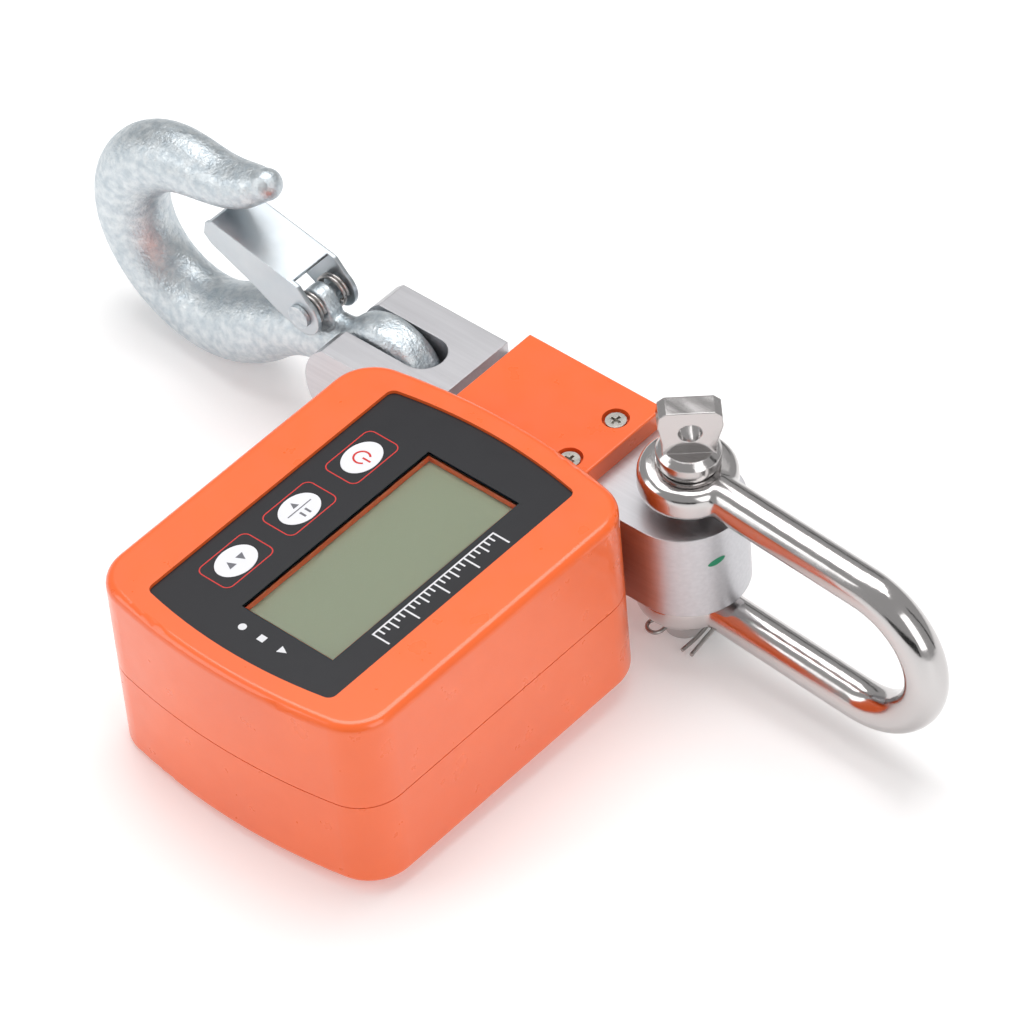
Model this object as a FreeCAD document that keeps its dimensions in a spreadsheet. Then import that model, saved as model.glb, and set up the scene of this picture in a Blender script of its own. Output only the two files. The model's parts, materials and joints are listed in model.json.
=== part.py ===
import FreeCAD, Part
import math
import os
import re

import Sketcher
from FreeCAD import Placement, Rotation, Vector

# Digital crane scale lying on its back: a painted two-shell display housing beside a
# load cell bar, with a bow shackle at one end of the bar and a latched hook at the other.
#
# Frame: +X runs along the load axis towards the shackle, +Y from the housing towards the
# bar, +Z out of the display.  The origin is the middle of the housing's flat back face.

# Driving dimensions, in millimetres and degrees.
SIZES = {
    # housing outline: straight ends, bowed long sides, rounded corners
    "box_length": 97.6,
    "box_half_width": 58.8,
    "bow_radius": 200,
    "corner_radius": 13.5,
    "box_top": 59.1,
    "seam_height": 29,
    "seam_gap": 0.3,
    "wall": 3,
    "back_wall": 3,
    "top_round": 2.6,
    "back_round": 2,
    "ceiling": 55.1,
    # display
    "overlay_length": 65.8,
    "overlay_half_width": 51.2,
    "overlay_bow": 160,
    "overlay_corner": 2.5,
    "overlay_top": 58.1,
    "overlay_thickness": 0.5,
    "fit_gap": 0.1,
    "window_length": 32.4,
    "window_width": 73,
    "window_x": 6.8,
    "window_thickness": 1,
    "window_ledge": 0.6,
    "panel_length": 38,
    "panel_width": 80,
    "panel_thickness": 2.8,
    "light_thickness": 2.4,
    # keys
    "key_x": -22.1,
    "key_y": -0.6,
    "key_pitch": 24.6,
    "key_long_radius": 6.6,
    "key_short_radius": 5,
    "key_thickness": 0.8,
    "key_travel": 0.5,
    "key_well_radius": 7.1,
    "key_well_floor": 56.4,
    "stem_radius": 2,
    "switch_size": 6,
    "switch_height": 3.3,
    "plunger_radius": 1.7,
    # circuit board
    "board_length": 62,
    "board_width": 92,
    "board_thickness": 1.6,
    "board_top": 49.8,
    "board_screw_x": 28,
    "board_screw_y": 43,
    "standoff_radius": 2.6,
    "board_hole_radius": 1.1,
    "board_screw_radius": 1.05,
    "board_head_radius": 2.1,
    # case screws and their posts
    "post_x": 38.2,
    "post_y": 44.5,
    "front_post_radius": 4,
    "rear_post_radius": 5,
    "case_bore_radius": 3.4,
    "case_seat": 14,
    "case_screw_end": 38,
    "case_hole_end": 41,
    # metric 3 screws shared by the case and the bar plates
    "screw_radius": 1.46,
    "screw_hole_radius": 1.5,
    "clearance_radius": 1.75,
    "head_radius": 3,
    "head_height": 2,
    # plates that clamp the load cell bar
    "plate_start": -25.6,
    "plate_end": 22.8,
    "plate_root": 56,
    "plate_edge": 95,
    "plate_thickness": 5.7,
    "plate_screw_x": 15.2,
    "plate_screw_y": 74.2,
    "plate_screw_pitch": 19.1,
    "plate_bore_radius": 3.85,
    "plate_bore_depth": 2.6,
    "plate_screw_depth": 7,
    # load cell bar
    "bar_y": 76,
    "bar_z": 28.85,
    "bar_width": 34,
    "bar_height": 28.3,
    "bar_end_radius": 17,
    "shackle_x": 45.6,
    "hook_x": -61.7,
    "slot_width": 13.4,
    "slot_end": -41.6,
    "waist_start": -32.5,
    "waist_end": 4,
    "waist_depth": 4,
    "gauge_x": -13,
    "gauge_hole_radius": 6,
    "shackle_bore_radius": 7.6,
    "hook_pin_radius": 5,
    # signal cable
    "cable_z": 32.4,
    "cable_radius": 1.5,
    "cable_hole_radius": 2,
    # batteries
    "cell_radius": 7.1,
    "cell_length": 49.2,
    "cell_pitch": 15.2,
    "cell_z": 10.8,
    "holder_length": 50,
    "holder_width": 62,
    "holder_top": 20,
    "holder_wall": 1.4,
    "door_length": 52,
    "door_width": 73,
    "door_thickness": 2,
    "door_opening_length": 47,
    "door_opening_width": 58,
    "door_screw_y": 34,
    "door_boss_radius": 2.4,
    # shackle
    "shackle_droop": 5.2,
    "shackle_z": 30.5,
    "bow_rod_radius": 6,
    "bow_half_gap": 22,
    "bow_leg": 60.8,
    "rod_start": 9.5,
    "eye_radius": 13.8,
    "eye_inner": 17,
    "eye_thickness": 10.2,
    "eye_round": 3.4,
    "eye_hole_radius": 6.3,
    "pin_radius": 6,
    "collar_radius": 8.9,
    "pin_tail": 11.3,
    "head_height_over": 22,
    "head_thickness": 6.4,
    "head_hole_radius": 3.2,
    "head_hole_height": 14.4,
    "head_turn": 45,
    "cotter_radius": 0.6,
    "cotter_hole_radius": 1.5,
    "cotter_turn": 65,
    "cotter_drop": 7.8,
    # hook
    "hook_eye_radius": 17.3,
    "hook_eye_thickness": 12,
    "hook_eye_hole_radius": 5.3,
    "bowl_x": -70.7,
    "bowl_z": 10.2,
    "bowl_radius": 27.7,
    "rivet_x": -25.4,
    "rivet_z": 12.4,
    "rivet_radius": 2.2,
    "lug_thickness": 5.6,
    "lug_radius": 4.8,
    "tip_x": -41.8,
    "tip_z": 46.2,
    "tip_radius": 4.8,
    "rivet_play": 0.05,
    # latch
    "latch_width": 16.4,
    "latch_sheet": 1.3,
    "latch_length": 37.2,
    "latch_lift": 12.7,
    "latch_roof": 9.8,
    "latch_ear_radius": 6.6,
    "coil_radius": 4.7,
    "coil_wire_radius": 0.6,
}

EXACT = 1e-7
WORD = re.compile(r"[a-z][a-z0-9_]*")
UPRIGHT = Rotation()
ALONG_X = Rotation(Vector(0, 1, 0), 90)
ALONG_Y = Rotation(Vector(1, 0, 0), -90)

doc = FreeCAD.newDocument("crane_scale")
subparts = []


# ---------------------------------------------------------------- helpers


def make_sheet():
    """Write every driving dimension into the spreadsheet, one alias per row."""
    sheet = doc.addObject("Spreadsheet::Sheet", "Dims")
    for row, (alias, value) in enumerate(SIZES.items(), start=1):
        sheet.set("A%d" % row, alias)
        sheet.set("B%d" % row, str(value))
        sheet.setAlias("B%d" % row, alias)
    doc.recompute()


def dim(alias):
    """Present value of a dimension, read from the spreadsheet."""
    return float(doc.getObject("Dims").get(alias))


def formula(text):
    """Turn aliases in an expression into references to the spreadsheet."""
    return WORD.sub(lambda word: "Dims." + word.group() if word.group() in SIZES else word.group(), text)


def bind(obj, **formulas):
    for name, text in formulas.items():
        obj.setExpression(name, formula(text))


def place(obj, x="0", y="0", z="0", turn=UPRIGHT):
    """Turn an object, then tie its position to the spreadsheet."""
    obj.Placement = Placement(Vector(), turn)
    for axis, text in zip("xyz", (x, y, z)):
        obj.setExpression("Placement.Base." + axis, formula(text))


def solid(kind, body=None, cut=False):
    """A primitive, either free standing or as a feature that adds to or cuts a body."""
    if body is None:
        return doc.addObject("Part::" + kind, kind)
    return body.newObject("PartDesign::" + ("Subtractive" if cut else "Additive") + kind, kind)


def block(length, width, height, x="0", y="0", z="0", body=None, cut=False):
    """A box centred on x and y that rises from z."""
    obj = solid("Box", body, cut)
    bind(obj, Length=length, Width=width, Height=height)
    place(obj, "%s - (%s) / 2" % (x, length), "%s - (%s) / 2" % (y, width), z)
    return obj


def cylinder(radius, height, x="0", y="0", z="0", turn=UPRIGHT, body=None, cut=False):
    """A cylinder that starts at x, y, z and runs along its turned axis."""
    obj = solid("Cylinder", body, cut)
    bind(obj, Radius=radius, Height=height)
    place(obj, x, y, z, turn)
    return obj


def boolean(kind, base, tool):
    obj = doc.addObject("Part::" + kind, kind)
    obj.Base = base
    obj.Tool = tool
    return obj


def fuse(shapes):
    obj = doc.addObject("Part::MultiFuse", "Fusion")
    obj.Shapes = shapes
    return obj


def group(shapes):
    """Separate solids that share one node."""
    obj = doc.addObject("Part::Compound", "Group")
    obj.Links = shapes
    return obj


def keep(obj, label):
    """Name a finished sub-part."""
    obj.Label = label
    subparts.append(obj)
    return obj


def new_body(label):
    body = doc.addObject("PartDesign::Body", "Body")
    return keep(body, label)


def sketch_on(body, role="XY_Plane", offset="0"):
    """A sketch on one of the body's own origin planes, moved along its normal."""
    sketch = body.newObject("Sketcher::SketchObject", "Sketch")
    plane = [item for item in body.Origin.OriginFeatures if item.Role == role][0]
    sketch.AttachmentSupport = [(plane, "")]
    sketch.MapMode = "FlatFace"
    sketch.setExpression("AttachmentOffset.Base.z", formula(offset))
    return sketch


def dimension(sketch, text, value, kind, *where):
    """Add a driving constraint at its present value and tie it to the spreadsheet."""
    index = sketch.addConstraint(Sketcher.Constraint(kind, *where, value))
    sketch.setExpression("Constraints[%d]" % index, formula(text))


def bowed_outline(sketch, prefix, bow, corner, shrink=0.0, margin="0"):
    """Rounded rectangle with straight ends and bowed sides, centred on the sketch origin.

    prefix names the _length and _half_width aliases; margin is taken off all round and
    shrink is its present value, which only sets the starting geometry.
    """
    half = dim(prefix + "_length") / 2 - shrink
    depth = dim(prefix + "_half_width") - shrink
    bow_size = dim(bow) - shrink
    corner_size = dim(corner) - shrink
    centre_drop = bow_size - depth
    corner_x = half - corner_size
    corner_y = math.sqrt((bow_size - corner_size) ** 2 - corner_x ** 2) - centre_drop
    lean = math.asin(corner_x / (bow_size - corner_size))
    up = math.pi / 2
    arcs = [
        (corner_x, -corner_y, corner_size, -up + lean, 0),
        (corner_x, corner_y, corner_size, 0, up - lean),
        (0, -centre_drop, bow_size, up - lean, up + lean),
        (-corner_x, corner_y, corner_size, up + lean, math.pi),
        (-corner_x, -corner_y, corner_size, math.pi, 3 * up - lean),
        (0, centre_drop, bow_size, 3 * up - lean, 3 * up + lean),
    ]
    for x, y, size, start, end in arcs:
        circle = Part.Circle(Vector(x, y, 0), Vector(0, 0, 1), size)
        sketch.addGeometry(Part.ArcOfCircle(circle, start, end), False)
    right = sketch.addGeometry(Part.LineSegment(Vector(half, -corner_y, 0), Vector(half, corner_y, 0)), False)
    left = sketch.addGeometry(Part.LineSegment(Vector(-half, corner_y, 0), Vector(-half, -corner_y, 0)), False)
    joints = [(0, right), (right, 1), (1, 2), (2, 3), (3, left), (left, 4), (4, 5), (5, 0)]
    for before, after in joints:
        sketch.addConstraint(Sketcher.Constraint("Tangent", before, 2, after, 1))
    sketch.addConstraint(Sketcher.Constraint("Vertical", right))
    sketch.addConstraint(Sketcher.Constraint("Vertical", left))
    sketch.addConstraint(Sketcher.Constraint("PointOnObject", 2, 3, -2))
    sketch.addConstraint(Sketcher.Constraint("PointOnObject", 5, 3, -2))
    for corner_arc in (0, 1, 3, 4):
        dimension(sketch, "%s - (%s)" % (corner, margin), corner_size, "Radius", corner_arc)
    for bow_arc in (2, 5):
        dimension(sketch, "%s - (%s)" % (bow, margin), bow_size, "Radius", bow_arc)
    drop = "%s - %s_half_width" % (bow, prefix)
    dimension(sketch, drop, centre_drop, "DistanceY", 2, 3, -1, 1)
    dimension(sketch, drop, centre_drop, "DistanceY", -1, 1, 5, 3)
    half_text = "%s_length / 2 - (%s)" % (prefix, margin)
    dimension(sketch, half_text, half, "DistanceX", -1, 1, right, 1)
    dimension(sketch, half_text, half, "DistanceX", left, 1, -1, 1)


def pad(body, sketch, height, kind="Pad", backwards=False):
    """Pad or Pocket a sketch."""
    feature = body.newObject("PartDesign::" + kind, kind)
    feature.Profile = sketch
    feature.Reversed = backwards
    bind(feature, Length=height)
    return feature


def round_edges(body, radius, wanted):
    """Fillet the edges of the body's last feature for which wanted(edge) is true."""
    doc.recompute()
    base = body.Tip
    names = ["Edge%d" % number for number, edge in enumerate(base.Shape.Edges, start=1) if wanted(edge)]
    feature = body.newObject("PartDesign::Fillet", "Fillet")
    feature.Base = (base, names)
    bind(feature, Radius=radius)
    return feature


def flat_at(height):
    """Test for edges that lie wholly at one height."""
    return lambda edge: max(abs(edge.BoundBox.ZMin - height), abs(edge.BoundBox.ZMax - height)) < 1e-4


def four_corners(x, y):
    return [("%s%s" % (a, x), "%s%s" % (b, y)) for a in ("", "-") for b in ("", "-")]


def key_places():
    """Label and y position of each key, from the bar side to the far side."""
    rows = (("power", 1), ("hold", 0), ("unit", -1))
    return [(label, "key_y + %d * key_pitch" % step) for label, step in rows]


# ---------------------------------------------------------------- housing


def front_shell():
    """Front half of the housing, with the plate that bridges the bar."""
    body = new_body("front_shell")
    outline = sketch_on(body, offset="seam_height + seam_gap / 2")
    bowed_outline(outline, "box", "bow_radius", "corner_radius")
    pad(body, outline, "box_top - seam_height - seam_gap / 2")
    round_edges(body, "top_round", flat_at(dim("box_top")))
    block("plate_end - plate_start", "plate_edge - plate_root", "plate_thickness",
          "(plate_start + plate_end) / 2", "(plate_edge + plate_root) / 2", "bar_z + bar_height / 2",
          body=body)
    plate_top = dim("bar_z") + dim("bar_height") / 2 + dim("plate_thickness")
    round_edges(body, "0.6", lambda edge: flat_at(plate_top)(edge) and edge.BoundBox.YMax > 60)
    inside = sketch_on(body, offset="seam_height + seam_gap / 2")
    bowed_outline(inside, "box", "bow_radius", "corner_radius", dim("wall"), "wall")
    pad(body, inside, "ceiling - seam_height - seam_gap / 2", "Pocket", backwards=True)
    recess = sketch_on(body, offset="box_top")
    bowed_outline(recess, "overlay", "overlay_bow", "overlay_corner", -dim("fit_gap"), "-fit_gap")
    pad(body, recess, "box_top - overlay_top + overlay_thickness", "Pocket")
    block("window_length + 2 * fit_gap", "window_width + 2 * fit_gap", "5", "window_x", "0",
          "overlay_top - window_thickness", body=body, cut=True)
    block("window_length - 2 * window_ledge", "window_width - 2 * window_ledge", "10", "window_x", "0",
          "ceiling - 5", body=body, cut=True)
    for _, y in key_places():
        cylinder("key_well_radius", "5", "key_x", y, "key_well_floor", body=body, cut=True)
        cylinder("stem_radius + 0.3", "8", "key_x", y, "ceiling - 1", body=body, cut=True)
    for x, y in four_corners("post_x", "post_y"):
        cylinder("front_post_radius", "ceiling - seam_height - seam_gap / 2", x, y,
                 "seam_height + seam_gap / 2", body=body)
        cylinder("screw_hole_radius", "case_hole_end - seam_height", x, y, "seam_height", body=body, cut=True)
    for x, y in four_corners("board_screw_x", "board_screw_y"):
        cylinder("standoff_radius", "ceiling - board_top", x, y, "board_top", body=body)
        cylinder("board_hole_radius", "ceiling - board_top - 0.5", x, y, "board_top", body=body, cut=True)
    for step in (-1, 1):
        y = "plate_screw_y + %d * plate_screw_pitch / 2" % step
        cylinder("clearance_radius", "20", "plate_screw_x", y, "bar_z", body=body, cut=True)
        cylinder("plate_bore_radius", "10", "plate_screw_x", y,
                 "bar_z + bar_height / 2 + plate_thickness - plate_bore_depth", body=body, cut=True)
    cylinder("cable_hole_radius", "12", "gauge_x", "box_half_width - 8", "cable_z", ALONG_Y, body=body, cut=True)


def rear_cover():
    """Back half of the housing, with the plate under the bar and the battery opening."""
    body = new_body("rear_cover")
    outline = sketch_on(body)
    bowed_outline(outline, "box", "bow_radius", "corner_radius")
    pad(body, outline, "seam_height - seam_gap / 2")
    round_edges(body, "back_round", flat_at(0))
    block("plate_end - plate_start", "plate_edge - plate_root", "plate_thickness",
          "(plate_start + plate_end) / 2", "(plate_edge + plate_root) / 2",
          "bar_z - bar_height / 2 - plate_thickness", body=body)
    inside = sketch_on(body, offset="back_wall")
    bowed_outline(inside, "box", "bow_radius", "corner_radius", dim("wall"), "wall")
    pad(body, inside, "seam_height", "Pocket", backwards=True)
    block("door_length + 2 * fit_gap", "door_width + 2 * fit_gap", "door_thickness + 1", z="-1",
          body=body, cut=True)
    block("door_opening_length", "door_opening_width", "back_wall + 2", z="-1", body=body, cut=True)
    for x, y in four_corners("post_x", "post_y"):
        cylinder("rear_post_radius", "seam_height - seam_gap / 2 - 1", x, y, "1", body=body)
        cylinder("clearance_radius", "seam_height + 2", x, y, "-1", body=body, cut=True)
        cylinder("case_bore_radius", "case_seat + 1", x, y, "-1", body=body, cut=True)
    for side in ("", "-"):
        cylinder("door_boss_radius", "6", "0", side + "door_screw_y", "door_thickness", body=body)
        cylinder("board_hole_radius", "5", "0", side + "door_screw_y", "door_thickness - 1", body=body, cut=True)
    for step in (-1, 1):
        y = "plate_screw_y + %d * plate_screw_pitch / 2" % step
        seat = "bar_z - bar_height / 2 - plate_thickness + plate_bore_depth"
        cylinder("clearance_radius", "20", "plate_screw_x", y, "0", body=body, cut=True)
        cylinder("plate_bore_radius", "10", "plate_screw_x", y, seat + " - 10", body=body, cut=True)


def case_seal():
    """Flat gasket in the seam between the two shells."""
    body = new_body("case_seal")
    outer = sketch_on(body, offset="seam_height - seam_gap / 2")
    bowed_outline(outer, "box", "bow_radius", "corner_radius", 0.8, "0.8")
    pad(body, outer, "seam_gap")
    inner = sketch_on(body, offset="seam_height - seam_gap / 2")
    bowed_outline(inner, "box", "bow_radius", "corner_radius", 2.4, "2.4")
    pad(body, inner, "seam_gap + 1", "Pocket", backwards=True)


def case_screws():
    """Four long screws that close the housing from the back."""
    screws = []
    for x, y in four_corners("post_x", "post_y"):
        head = cylinder("head_radius", "head_height", x, y, "case_seat - head_height")
        shank = cylinder("screw_radius", "case_screw_end - case_seat", x, y, "case_seat")
        screws.append(cross_recess(fuse([head, shank]), x, y, "case_seat - head_height - 1"))
    keep(group(screws), "case_screws")


def cross_recess(screw, x, y, low):
    """Cut a cross into a screw head; low is the height where the 2.2 mm deep cross starts."""
    arms = [block("3.4", "0.8", "2.2", x, y, low), block("0.8", "3.4", "2.2", x, y, low)]
    return boolean("Cut", screw, fuse(arms))


def plate_screws():
    """Two screws through each plate into the bar, above and below."""
    screws = []
    for step in (-1, 1):
        x = "plate_screw_x"
        y = "plate_screw_y + %d * plate_screw_pitch / 2" % step
        seat = "bar_z + bar_height / 2 + plate_thickness - plate_bore_depth"
        head = cylinder("head_radius", "head_height", x, y, seat)
        shank = cylinder("screw_radius", "plate_thickness - plate_bore_depth + plate_screw_depth", x, y,
                         "bar_z + bar_height / 2 - plate_screw_depth")
        screws.append(cross_recess(fuse([head, shank]), x, y, seat + " + head_height - 1.2"))
        seat = "bar_z - bar_height / 2 - plate_thickness + plate_bore_depth"
        head = cylinder("head_radius", "head_height", x, y, seat + " - head_height")
        shank = cylinder("screw_radius", "plate_thickness - plate_bore_depth + plate_screw_depth", x, y, seat)
        screws.append(cross_recess(fuse([head, shank]), x, y, seat + " - head_height - 1"))
    keep(group(screws), "plate_screws")


# ---------------------------------------------------------------- display and keys


def display_overlay():
    """Printed sheet with a window and three oval key holes."""
    body = doc.addObject("PartDesign::Body", "Body")
    outline = sketch_on(body, offset="overlay_top - overlay_thickness")
    bowed_outline(outline, "overlay", "overlay_bow", "overlay_corner")
    pad(body, outline, "overlay_thickness")
    block("window_length", "window_width", "5", "window_x", "0", "overlay_top - 3", body=body, cut=True)
    holes = [oval("key_long_radius + fit_gap", "key_short_radius + fit_gap", "3", y, "overlay_top - 1.5")
             for _, y in key_places()]
    keep(boolean("Cut", body, fuse(holes)), "display_overlay")


def oval(long_radius, short_radius, height, y, z):
    """Elliptical disc in the key row, its long axis across the bar."""
    ellipse = doc.addObject("Part::Ellipse", "Ellipse")
    bind(ellipse, MajorRadius=long_radius, MinorRadius=short_radius)
    place(ellipse, "key_x", y, z, Rotation(Vector(0, 0, 1), 90))
    disc = doc.addObject("Part::Extrusion", "Extrusion")
    disc.Base = ellipse
    disc.DirMode = "Custom"
    disc.Dir = Vector(0, 0, 1)
    disc.Solid = True
    bind(disc, LengthFwd=height)
    return disc


def keys():
    """Oval key caps, each on a stem that stands on its switch plunger."""
    for label, y in key_places():
        cap = oval("key_long_radius", "key_short_radius", "key_thickness", y, "overlay_top - key_thickness")
        stem = cylinder("stem_radius", "overlay_top - key_thickness - board_top - switch_height - 1",
                        "key_x", y, "board_top + switch_height + 1")
        keep(fuse([cap, stem]), label + "_button")
        plunger = cylinder("plunger_radius", "1.6", "key_x", y, "board_top + switch_height - 0.6")
        keep(plunger, label + "_plunger")


def lcd():
    """Clear window, liquid crystal panel and the light behind it."""
    window = block("window_length", "window_width", "window_thickness", "window_x", "0",
                   "overlay_top - window_thickness")
    keep(window, "lcd_window")
    panel = block("panel_length", "panel_width", "panel_thickness", "window_x", "0",
                  "board_top + light_thickness")
    keep(panel, "lcd_panel")
    light = block("panel_length", "panel_width", "light_thickness", "window_x", "0", "board_top")
    keep(light, "lcd_backlight")


def circuit_board():
    body = new_body("circuit_board")
    block("board_length", "board_width", "board_thickness", z="board_top - board_thickness", body=body)
    for x, y in four_corners("board_screw_x", "board_screw_y"):
        cylinder("board_hole_radius", "board_thickness + 2", x, y, "board_top - board_thickness - 1",
                 body=body, cut=True)


def board_pieces():
    """Switches above the board; chips and the cable socket under it."""
    switches = []
    for _, y in key_places():
        case = block("switch_size", "switch_size", "switch_height", "key_x", y, "board_top")
        well = cylinder("plunger_radius + 0.05", "2", "key_x", y, "board_top + switch_height - 1.2")
        switches.append(boolean("Cut", case, well))
    keep(group(switches), "tact_switches")
    under = "board_top - board_thickness"
    chips = [block("10", "10", "1.4", "6", "-12", under + " - 1.4"),
             block("6", "5", "1.4", "-8", "-12", under + " - 1.4"),
             block("5", "6", "1.4", "12", "14", under + " - 1.4")]
    keep(group(chips), "circuit_chips")
    keep(block("8", "6", "3.6", "gauge_x", "36", under + " - 3.6"), "cable_socket")


def board_screws():
    screws = []
    for x, y in four_corners("board_screw_x", "board_screw_y"):
        under = "board_top - board_thickness"
        head = cylinder("board_head_radius", "1.4", x, y, under + " - 1.4")
        shank = cylinder("board_screw_radius", "board_thickness + 4", x, y, under)
        screws.append(fuse([head, shank]))
    keep(group(screws), "board_screws")


# ---------------------------------------------------------------- batteries


def battery_holder():
    """Tray with three round troughs, open towards the battery door."""
    body = new_body("battery_holder")
    block("holder_length", "holder_width", "holder_top - back_wall", z="back_wall", body=body)
    for step in (-1, 0, 1):
        x = "%d * cell_pitch" % step
        cylinder("cell_radius + 0.3", "holder_width - 2 * holder_wall", x, "holder_wall - holder_width / 2",
                 "cell_z", ALONG_Y, body=body, cut=True)
    block("2 * cell_pitch + 1.7 * cell_radius", "holder_width - 2 * holder_wall", "cell_z - back_wall + 1",
          z="back_wall - 1", body=body, cut=True)


def battery_pieces():
    """Three cells nose to tail, with a contact plate at each end and a spring at each tail."""
    cells, contacts, springs = [], [], []
    for step in (-1, 0, 1):
        x = "%d * cell_pitch" % step
        nose = 1 if step == 0 else -1
        middle = "%d * 2.2" % nose
        tube = cylinder("cell_radius", "cell_length", x, middle + " - cell_length / 2", "cell_z", ALONG_Y)
        nub = cylinder("2.7", "cell_length / 2 + 1.2", x, middle, "cell_z", ALONG_Y if nose > 0 else
                       ALONG_Y.multiply(Rotation(Vector(1, 0, 0), 180)))
        cells.append(fuse([tube, nub]))
        end = "holder_width / 2 - holder_wall - 0.2"
        for side in (-1, 1):
            contacts.append(block("8", "0.4", "8", x, "%d * (%s)" % (side, end), "cell_z - 4"))
        springs.append(coil_spring(x, nose))
    keep(group(cells), "battery_cells")
    keep(group(contacts), "battery_contacts")
    keep(group(springs), "battery_springs")


def coil(pitch, height, radius, wire_radius):
    """Round wire wound about +Z from the origin."""
    helix = Part.Wire(Part.makeLongHelix(pitch, height, radius).Edges)
    section = Part.Wire([Part.makeCircle(wire_radius, Vector(radius, 0, 0), Vector(0, 1, 0))])
    return helix.makePipeShell([section], True, True)


def coil_spring(x, nose):
    """Spring between a cell's tail and its contact plate."""
    spring = doc.addObject("Part::Feature", "Spring")
    spring.Shape = coil(1.5, 4.2, 3, 0.3)
    start = "-%d * (holder_width / 2 - holder_wall - 0.9)" % nose
    place(spring, x, start, "cell_z", ALONG_Y if nose > 0 else ALONG_Y.multiply(Rotation(Vector(1, 0, 0), 180)))
    return spring


def battery_door():
    body = new_body("battery_door")
    block("door_length", "door_width", "door_thickness", body=body)
    for side in ("", "-"):
        cylinder("board_hole_radius", "4", "0", side + "door_screw_y", "-1", body=body, cut=True)
        cylinder("board_head_radius + 0.3", "1 + 1.2", "0", side + "door_screw_y", "-1", body=body, cut=True)
    screws = []
    for side in ("", "-"):
        head = cylinder("board_head_radius", "1", "0", side + "door_screw_y", "0.2")
        shank = cylinder("board_screw_radius", "4", "0", side + "door_screw_y", "1.2")
        screws.append(fuse([head, shank]))
    keep(group(screws), "door_screws")


# ---------------------------------------------------------------- load cell


def load_cell_bar():
    """Aluminium bar: fork and cross hole for the hook, waist for the gauges, bore for the pin."""
    body = new_body("load_cell_bar")
    side = sketch_on(body, "XZ_Plane", "-bar_y")
    reach = math.sqrt(dim("bar_end_radius") ** 2 - (dim("bar_height") / 2) ** 2)
    low = dim("bar_z") - dim("bar_height") / 2
    high = dim("bar_z") + dim("bar_height") / 2
    left = dim("hook_x") - reach
    right = dim("shackle_x")
    sketch_lines = [((left, low), (right, low)), ((right, low), (right, high)), ((right, high), (left, high))]
    for start, end in sketch_lines:
        side.addGeometry(Part.LineSegment(Vector(*start, 0), Vector(*end, 0)), False)
    lean = math.asin(dim("bar_height") / 2 / dim("bar_end_radius"))
    circle = Part.Circle(Vector(dim("hook_x"), dim("bar_z"), 0), Vector(0, 0, 1), dim("bar_end_radius"))
    side.addGeometry(Part.ArcOfCircle(circle, math.pi - lean, math.pi + lean), False)
    for before, after in ((0, 1), (1, 2), (2, 3), (3, 0)):
        side.addConstraint(Sketcher.Constraint("Coincident", before, 2, after, 1))
    side.addConstraint(Sketcher.Constraint("Horizontal", 0))
    side.addConstraint(Sketcher.Constraint("Vertical", 1))
    side.addConstraint(Sketcher.Constraint("Horizontal", 2))
    dimension(side, "bar_end_radius", dim("bar_end_radius"), "Radius", 3)
    dimension(side, "-hook_x", -dim("hook_x"), "DistanceX", 3, 3, -1, 1)
    dimension(side, "bar_z", dim("bar_z"), "DistanceY", -1, 1, 3, 3)
    dimension(side, "bar_height", dim("bar_height"), "DistanceY", 1, 1, 1, 2)
    dimension(side, "bar_z - bar_height / 2", low, "DistanceY", -1, 1, 0, 1)
    dimension(side, "shackle_x", right, "DistanceX", -1, 1, 1, 1)
    stock = pad(body, side, "bar_width")
    stock.Midplane = True
    cylinder("bar_end_radius", "bar_height", "shackle_x", "bar_y", "bar_z - bar_height / 2", body=body)
    block("60", "slot_width", "bar_height + 2", "slot_end - slot_width / 2 - 30", "bar_y",
          "bar_z - bar_height / 2 - 1", body=body, cut=True)
    cylinder("slot_width / 2", "bar_height + 2", "slot_end - slot_width / 2", "bar_y",
             "bar_z - bar_height / 2 - 1", body=body, cut=True)
    cylinder("hook_pin_radius + 0.01", "bar_width + 2", "hook_x", "bar_y - bar_width / 2 - 1", "bar_z",
             ALONG_Y, body=body, cut=True)
    cylinder("shackle_bore_radius", "bar_height + 2", "shackle_x", "bar_y", "bar_z - bar_height / 2 - 1",
             body=body, cut=True)
    waist_length = "waist_end - waist_start"
    waist_middle = "(waist_end + waist_start) / 2"
    block(waist_length, "bar_width + 2", "waist_depth + 1", waist_middle, "bar_y",
          "bar_z + bar_height / 2 - waist_depth", body=body, cut=True)
    block(waist_length, "bar_width + 2", "waist_depth + 1", waist_middle, "bar_y",
          "bar_z - bar_height / 2 - 1", body=body, cut=True)
    cylinder("gauge_hole_radius", "bar_width + 2", "gauge_x", "bar_y - bar_width / 2 - 1", "bar_z",
             ALONG_Y, body=body, cut=True)
    for step in (-1, 1):
        y = "plate_screw_y + %d * plate_screw_pitch / 2" % step
        cylinder("screw_hole_radius", "plate_screw_depth + 2", "plate_screw_x", y,
                 "bar_z + bar_height / 2 - plate_screw_depth - 1", body=body, cut=True)
        cylinder("screw_hole_radius", "plate_screw_depth + 2", "plate_screw_x", y,
                 "bar_z - bar_height / 2 - 1", body=body, cut=True)


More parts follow.
